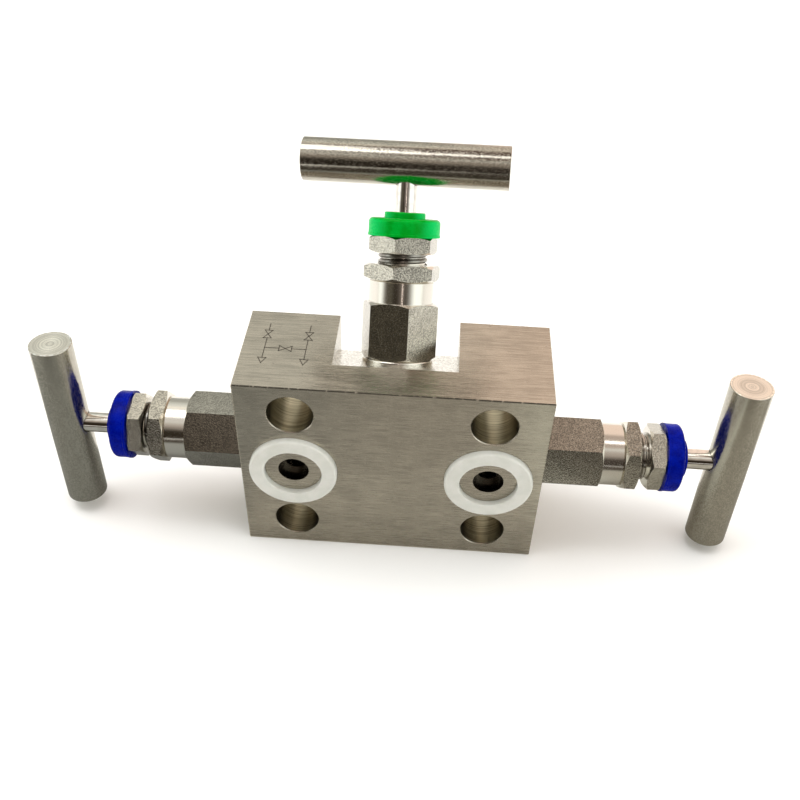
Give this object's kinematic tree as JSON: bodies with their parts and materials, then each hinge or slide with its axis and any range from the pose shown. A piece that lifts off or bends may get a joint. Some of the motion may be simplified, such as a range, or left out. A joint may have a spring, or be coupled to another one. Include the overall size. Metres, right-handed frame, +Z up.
{
  "type": "instrument valve manifold",
  "caption": "Instrument valve manifold: a drilled steel block with an isolate valve out of each end and a tilted equalise valve on top, each turned by a T-bar.",
  "frame": {"origin": "centre of the bolt pattern on the instrument face of the block", "axes": "+X from the left isolate valve to the right one, +Y from the instrument face through the block to the process face, +Z up"},
  "size_m": [0.1996, 0.057, 0.107],
  "materials": {
    "block_steel": "fine-brushed stainless steel",
    "bonnet_steel": "bar-stock flats with turned neck",
    "nut_steel": "satin stainless steel",
    "ring_steel": "turned stainless steel",
    "stem_steel": "ground stainless steel",
    "handle_steel": "satin bar with faced ends",
    "seal_ptfe": "white fluoropolymer",
    "packing_ptfe": "white fluoropolymer",
    "cap_blue": "moulded blue plastic",
    "cap_green": "moulded green plastic"
  },
  "bodies": {
    "body": {"body_block": "block_steel", "left_port_seal": "seal_ptfe", "right_port_seal": "seal_ptfe", "left_isolate_bonnet": "bonnet_steel", "left_isolate_bonnet_seal": "ring_steel", "left_isolate_packing_rings": "packing_ptfe", "left_isolate_gland_follower": "ring_steel", "left_isolate_gland_bolt": "nut_steel", "left_isolate_lock_nut": "nut_steel", "left_isolate_dust_cap": "cap_blue", "right_isolate_bonnet": "bonnet_steel", "right_isolate_bonnet_seal": "ring_steel", "right_isolate_packing_rings": "packing_ptfe", "right_isolate_gland_follower": "ring_steel", "right_isolate_gland_bolt": "nut_steel", "right_isolate_lock_nut": "nut_steel", "right_isolate_dust_cap": "cap_blue", "equalise_bonnet": "bonnet_steel", "equalise_bonnet_seal": "ring_steel", "equalise_packing_rings": "packing_ptfe", "equalise_gland_follower": "ring_steel", "equalise_gland_bolt": "nut_steel", "equalise_lock_nut": "nut_steel", "equalise_dust_cap": "cap_green"},
    "left_isolate_needle_slide": {"left_isolate_needle": "stem_steel"},
    "left_isolate_handle": {"left_isolate_stem": "stem_steel", "left_isolate_t_bar": "handle_steel", "left_isolate_handle_pin": "ring_steel"},
    "right_isolate_needle_slide": {"right_isolate_needle": "stem_steel"},
    "right_isolate_handle": {"right_isolate_stem": "stem_steel", "right_isolate_t_bar": "handle_steel", "right_isolate_handle_pin": "ring_steel"},
    "equalise_needle_slide": {"equalise_needle": "stem_steel"},
    "equalise_handle": {"equalise_stem": "stem_steel", "equalise_t_bar": "handle_steel", "equalise_handle_pin": "ring_steel"}
  },
  "joints": [
    {"name": "left_isolate_lift", "type": "slide", "parent": "body", "child": "left_isolate_needle_slide", "axis": [-1, 0, 0], "range_m": [-0.00275, 0]},
    {"name": "left_isolate_turn", "type": "hinge", "parent": "left_isolate_needle_slide", "child": "left_isolate_handle", "pos_m": [-0.04175, 0.0123, 0.00165], "axis": [-1, 0, 0], "range_deg": [-990, 0]},
    {"name": "right_isolate_lift", "type": "slide", "parent": "body", "child": "right_isolate_needle_slide", "axis": [1, 0, 0], "range_m": [-0.00375, 0]},
    {"name": "right_isolate_turn", "type": "hinge", "parent": "right_isolate_needle_slide", "child": "right_isolate_handle", "pos_m": [0.04175, 0.0123, 0.00165], "axis": [1, 0, 0], "range_deg": [-1350, 0]},
    {"name": "equalise_lift", "type": "slide", "parent": "body", "child": "equalise_needle_slide", "axis": [0, 0.5, 0.866], "range_m": [-0.00375, 0]},
    {"name": "equalise_turn", "type": "hinge", "parent": "equalise_needle_slide", "child": "equalise_handle", "pos_m": [0, 0.0212, 0.02387], "axis": [0, 0.5, 0.866], "range_deg": [-1350, 0]}
  ],
  "couplings": [
    {"joint": "left_isolate_lift", "follows": "left_isolate_turn", "m_per_rad": 0.00015915},
    {"joint": "right_isolate_lift", "follows": "right_isolate_turn", "m_per_rad": 0.00015915},
    {"joint": "equalise_lift", "follows": "equalise_turn", "m_per_rad": 0.00015915}
  ]
}
